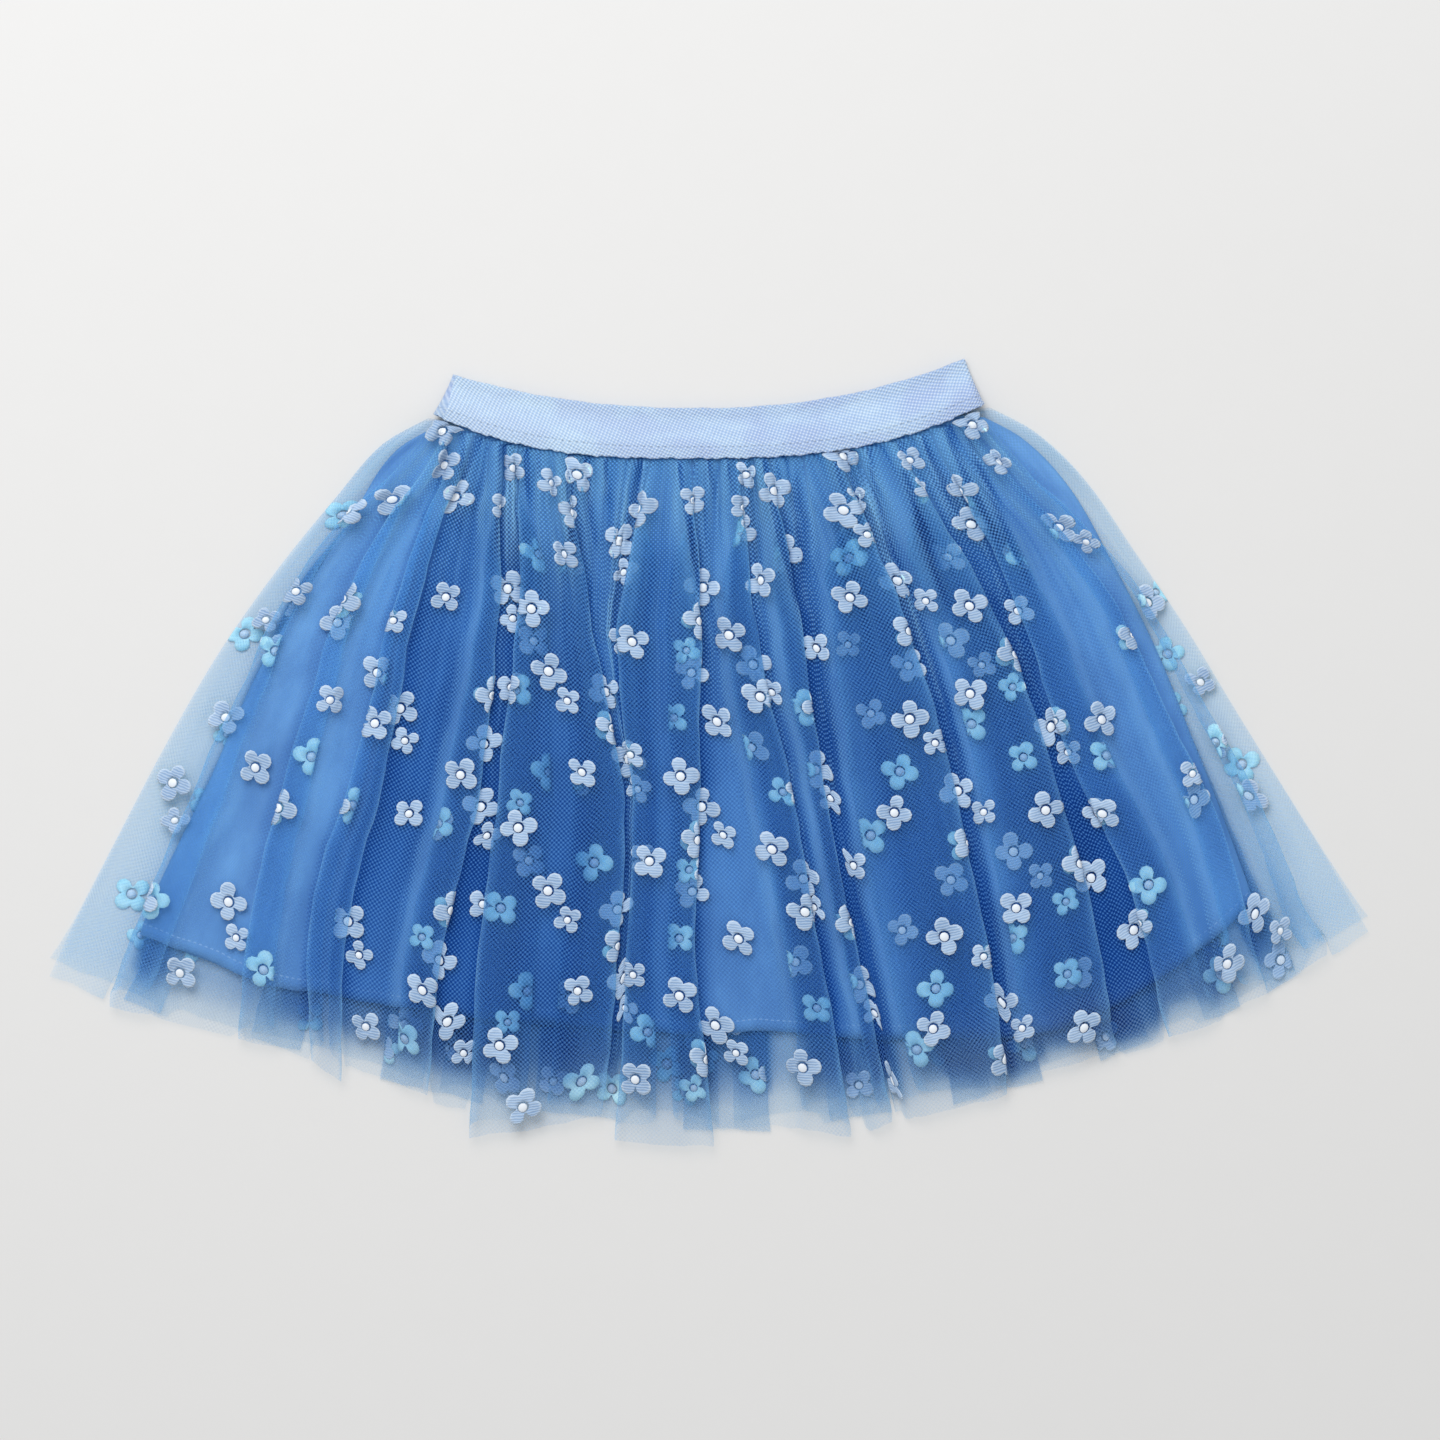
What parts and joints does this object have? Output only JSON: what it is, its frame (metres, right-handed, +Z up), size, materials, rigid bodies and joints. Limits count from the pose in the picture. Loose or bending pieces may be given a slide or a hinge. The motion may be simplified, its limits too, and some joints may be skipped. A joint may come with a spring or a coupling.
{
  "type": "child's tulle skirt",
  "caption": "Gathered knee-length tulle skirt with an opaque lining and an elastic waistband, laid flat with its front pleats up.",
  "frame": {"origin": "middle of the bounding box, on the surface that the skirt lies on", "axes": "+X across the skirt, to the right as seen from above, +Y from the hem to the waistband, +Z up from the surface"},
  "size_m": [0.6326, 0.3763, 0.0106],
  "materials": {
    "net": "soft sheer tulle net, matt",
    "lining": "opaque smooth woven lining, faint sheen",
    "elastic": "brushed ribbed elastic, matt"
  },
  "bodies": {
    "root": {"tulle_front": "net", "tulle_back": "net", "lining_front": "lining", "lining_back": "lining", "waistband": "elastic"}
  },
  "joints": []
}
